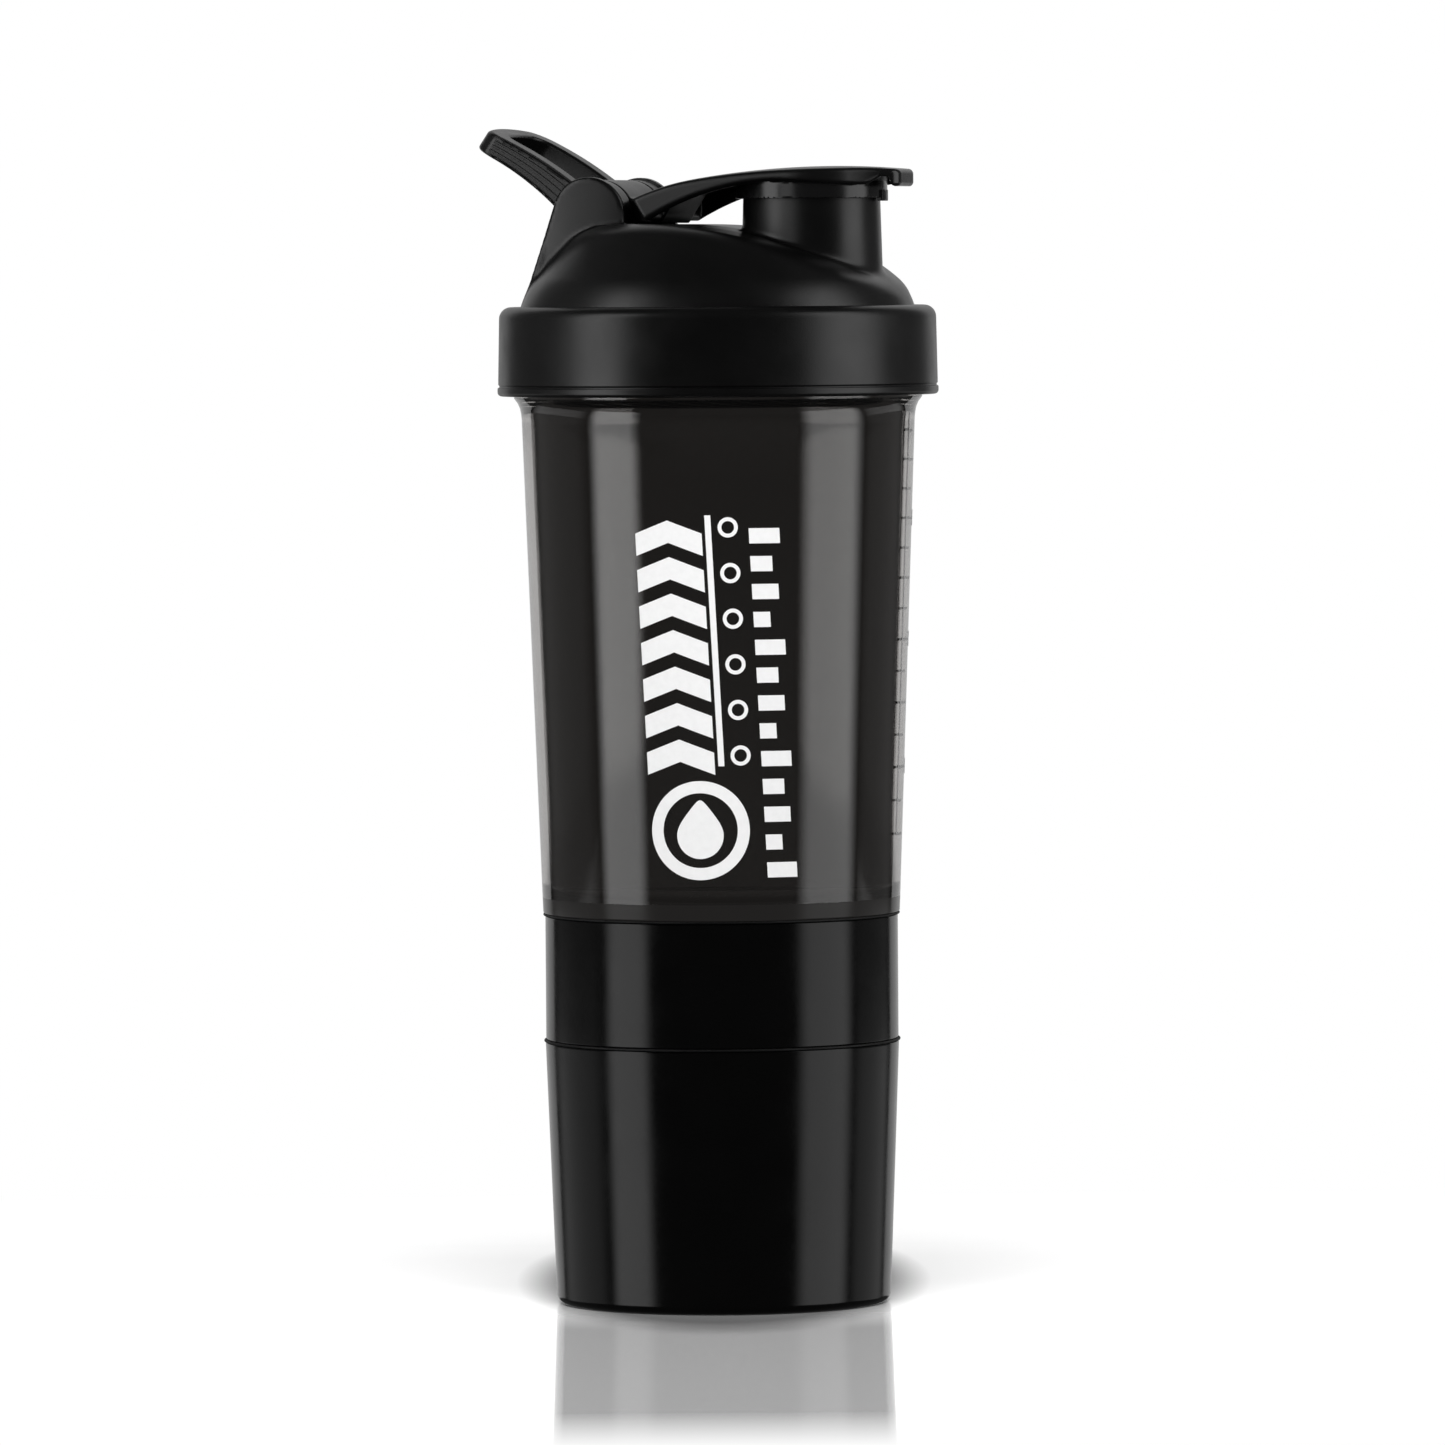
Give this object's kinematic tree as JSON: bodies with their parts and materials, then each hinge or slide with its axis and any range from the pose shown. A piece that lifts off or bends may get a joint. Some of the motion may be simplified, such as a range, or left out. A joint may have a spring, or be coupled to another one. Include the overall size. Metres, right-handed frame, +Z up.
{
  "type": "shaker bottle",
  "caption": "Flip-cap shaker bottle with a carry loop on its screw lid, a smoky clear cup and stacked screw-on storage containers below.",
  "frame": {"origin": "on the bottle's axis at the flat face that it stands on", "axes": "+Z up along the bottle's axis, +X towards the spout and its thumb tab, -X towards the hinge and the carry loop"},
  "size_m": [0.0913, 0.0882, 0.2354],
  "materials": {
    "cup_plastic": "glossy, smoky translucent",
    "storage_plastic": "glossy black",
    "lid_plastic": "satin black, finely textured",
    "seal_rubber": "matt black",
    "grid_plastic": "satin black",
    "tray_plastic": "satin black",
    "pin_steel": "drawn steel",
    "print_white": "white screen print"
  },
  "bodies": {
    "lower_container": {"lower_storage": "storage_plastic"},
    "lower_seal": {"lower_storage_seal": "seal_rubber"},
    "upper_container": {"upper_storage": "storage_plastic", "pill_tray": "tray_plastic"},
    "upper_seal": {"upper_storage_seal": "seal_rubber"},
    "cup": {"cup": "cup_plastic"},
    "lid_seal": {"lid_gasket": "seal_rubber", "mixing_grid": "grid_plastic"},
    "lid": {"lid": "lid_plastic", "spout": "lid_plastic", "hinge_pin": "pin_steel"},
    "flip_cap": {"flip_cap": "lid_plastic", "spout_plug": "seal_rubber"},
    "carry_loop": {"carry_loop": "lid_plastic"}
  },
  "joints": [
    {"name": "lower_lift", "type": "slide", "parent": "lower_container", "child": "lower_seal", "axis": [0, 0, 1], "range_m": [0, 0.00402]},
    {"name": "lower_unscrew", "type": "hinge", "parent": "lower_seal", "child": "upper_container", "pos_m": [0, 0, 0.0526], "axis": [0, 0, 1], "range_deg": [0, 240]},
    {"name": "upper_lift", "type": "slide", "parent": "upper_container", "child": "upper_seal", "axis": [0, 0, 1], "range_m": [0, 0.00402]},
    {"name": "upper_unscrew", "type": "hinge", "parent": "upper_seal", "child": "cup", "pos_m": [0, 0, 0.0779], "axis": [0, 0, 1], "range_deg": [0, 240]},
    {"name": "lid_lift", "type": "slide", "parent": "cup", "child": "lid_seal", "axis": [0, 0, 1], "range_m": [0, 0.00535]},
    {"name": "lid_unscrew", "type": "hinge", "parent": "lid_seal", "child": "lid", "pos_m": [0, 0, 0.1816], "axis": [0, 0, 1], "range_deg": [0, 240]},
    {"name": "cap_flip", "type": "hinge", "parent": "lid", "child": "flip_cap", "pos_m": [-0.0216, 0, 0.2176], "axis": [0, -1, 0], "range_deg": [0, 95]},
    {"name": "loop_swing", "type": "hinge", "parent": "lid", "child": "carry_loop", "pos_m": [-0.0216, 0, 0.2176], "axis": [0, -1, 0], "range_deg": [0, 62]}
  ],
  "couplings": [
    {"joint": "lower_lift", "follows": "lower_unscrew", "m_per_rad": 0.00095493},
    {"joint": "upper_lift", "follows": "upper_unscrew", "m_per_rad": 0.00095493},
    {"joint": "lid_lift", "follows": "lid_unscrew", "m_per_rad": 0.0012732}
  ]
}
